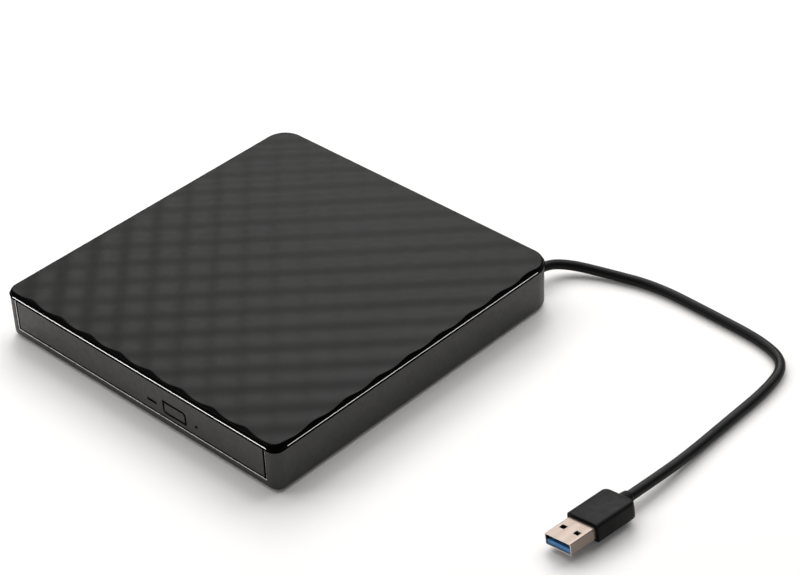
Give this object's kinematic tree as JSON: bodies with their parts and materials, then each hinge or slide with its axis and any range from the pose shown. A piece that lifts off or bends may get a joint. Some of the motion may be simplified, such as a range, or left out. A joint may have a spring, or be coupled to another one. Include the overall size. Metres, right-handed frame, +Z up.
{
  "type": "external dvd drive",
  "caption": "Slim external disc drive: sliding tray with bezel, eject button and indicator slot, waved top cover, inner mechanism, short cord with USB type A plug.",
  "frame": {"origin": "centre of the case's footprint, on the surface its feet stand on", "axes": "+Z up; +X to the right when facing the tray's front; +Y from the tray's front to the cord's side, so the tray slides out along -Y"},
  "size_m": [0.2471, 0.1809, 0.021],
  "materials": {
    "cover_plastic": "satin with glossy rim",
    "case_plastic": "fine matte",
    "bezel_plastic": "fine matte",
    "rubber": "matte",
    "sheet_steel": "plain rolled",
    "rail_steel": "rolled",
    "board_green": "solder mask",
    "chip_plastic": "moulded",
    "connector_plastic": "moulded",
    "cable_film": "film",
    "tray_plastic": "fine matte",
    "inner_plastic": "moulded",
    "copper": "enamelled wire",
    "core_steel": "laminated",
    "rod_steel": "ground",
    "lens_glass": "polished",
    "magnet": "sintered",
    "lamp_lens": "smoked",
    "spring_steel": "drawn",
    "cord_plastic": "soft satin",
    "plug_plastic": "soft satin",
    "shell_metal": "tinned steel",
    "tongue_blue": "moulded",
    "contact_gold": "plated"
  },
  "bodies": {
    "case": {"lower_case": "case_plastic", "top_cover": "cover_plastic", "rubber_feet": "rubber", "drive_base_pan": "sheet_steel", "drive_lid": "sheet_steel", "right_fixed_rail": "rail_steel", "left_fixed_rail": "rail_steel", "main_board": "board_green", "main_board_chips": "chip_plastic", "drive_connector": "connector_plastic", "bridge_board": "board_green", "bridge_board_parts": "chip_plastic", "flat_cable": "cable_film", "ejector_guide": "inner_plastic", "ejector_spring": "spring_steel", "cord_leads": "cord_plastic", "cord_grommet": "rubber", "usb_cord": "cord_plastic", "plug_grip": "plug_plastic", "plug_shell": "shell_metal", "plug_tongue": "tongue_blue", "plug_contacts": "contact_gold"},
    "tray": {"disc_tray": "tray_plastic", "tray_bezel": "bezel_plastic", "eject_switch": "connector_plastic", "front_board": "board_green", "indicator_lamp": "connector_plastic", "indicator_lens": "lamp_lens", "tray_board": "board_green", "tray_bottom_plate": "sheet_steel", "traverse_frame": "sheet_steel", "mechanism_cover": "sheet_steel", "isolation_grommets": "rubber", "guide_rods": "rod_steel", "sled_motor": "sheet_steel", "spindle_base": "sheet_steel", "stator_core": "core_steel", "stator_coils": "copper", "latch_solenoid": "sheet_steel"},
    "right_rail": {"right_sliding_rail": "rail_steel"},
    "left_rail": {"left_sliding_rail": "rail_steel"},
    "button": {"eject_button": "bezel_plastic"},
    "switch_pin": {"switch_plunger": "connector_plastic"},
    "spindle": {"spindle_rotor": "sheet_steel", "turntable_pad": "rubber", "clamp_hub": "inner_plastic"},
    "claw_1": {"clamp_claw_1": "inner_plastic"},
    "claw_2": {"clamp_claw_2": "inner_plastic"},
    "claw_3": {"clamp_claw_3": "inner_plastic"},
    "sled": {"laser_sled": "inner_plastic", "sled_magnets": "magnet"},
    "screw": {"lead_screw": "rod_steel"},
    "lens": {"lens_holder": "inner_plastic", "objective_lens": "lens_glass"},
    "latch": {"latch_lever": "inner_plastic"},
    "release": {"emergency_slider": "inner_plastic"},
    "ejector": {"ejector_plunger": "inner_plastic"}
  },
  "joints": [
    {"name": "tray_slide", "type": "slide", "parent": "case", "child": "tray", "axis": [0, -1, 0], "range_m": [0, 0.126], "deforming": ["flat_cable"]},
    {"name": "right_rail_slide", "type": "slide", "parent": "case", "child": "right_rail", "axis": [0, -1, 0], "range_m": [0, 0.063]},
    {"name": "left_rail_slide", "type": "slide", "parent": "case", "child": "left_rail", "axis": [0, -1, 0], "range_m": [0, 0.063]},
    {"name": "ejector_slide", "type": "slide", "parent": "case", "child": "ejector", "axis": [0, -1, 0], "range_m": [0, 0.01], "deforming": ["ejector_spring"]},
    {"name": "button_press", "type": "slide", "parent": "tray", "child": "button", "axis": [0, 1, 0], "range_m": [0, 0.0007], "stiffness_N_per_m": 1000, "springref_m": -0.0006},
    {"name": "switch_press", "type": "slide", "parent": "tray", "child": "switch_pin", "axis": [0, 1, 0], "range_m": [0, 0.00035]},
    {"name": "spindle_spin", "type": "hinge", "parent": "tray", "child": "spindle", "pos_m": [0, -0.0095, 0.0095], "axis": [0, 0, 1], "continuous": true},
    {"name": "sled_slide", "type": "slide", "parent": "tray", "child": "sled", "axis": [-0.7071, -0.7071, 0], "range_m": [0, 0.034]},
    {"name": "lead_screw_spin", "type": "hinge", "parent": "tray", "child": "screw", "pos_m": [-0.00742, -0.0445, 0.0084], "axis": [-0.7071, -0.7071, 0], "continuous": true},
    {"name": "lens_focus", "type": "slide", "parent": "sled", "child": "lens", "axis": [0, 0, 1], "range_m": [-0.0004, 0.0004], "stiffness_N_per_m": 60},
    {"name": "latch_swing", "type": "hinge", "parent": "tray", "child": "latch", "pos_m": [0.0415, -0.044, 0.0066], "axis": [0, 0, 1], "range_deg": [0, 15]},
    {"name": "release_push", "type": "slide", "parent": "tray", "child": "release", "axis": [0, 1, 0], "range_m": [0, 0.004], "stiffness_N_per_m": 120, "springref_m": -0.002},
    {"name": "claw_1_press", "type": "slide", "parent": "spindle", "child": "claw_1", "axis": [-0.7071, 0.7071, 0], "range_m": [0, 0.0004], "stiffness_N_per_m": 400, "springref_m": -0.0004},
    {"name": "claw_2_press", "type": "slide", "parent": "spindle", "child": "claw_2", "axis": [-0.2588, -0.9659, 0], "range_m": [0, 0.0004], "stiffness_N_per_m": 400, "springref_m": -0.0004},
    {"name": "claw_3_press", "type": "slide", "parent": "spindle", "child": "claw_3", "axis": [0.9659, 0.2588, 0], "range_m": [0, 0.0004], "stiffness_N_per_m": 400, "springref_m": -0.0004}
  ],
  "couplings": [
    {"joint": "right_rail_slide", "follows": "tray_slide", "ratio": 0.5},
    {"joint": "left_rail_slide", "follows": "tray_slide", "ratio": 0.5},
    {"joint": "ejector_slide", "follows": "tray_slide", "ratio": 0.079365},
    {"joint": "switch_press", "follows": "button_press", "ratio": 0.5},
    {"joint": "lead_screw_spin", "follows": "sled_slide", "rad_per_m": 2094.4}
  ]
}
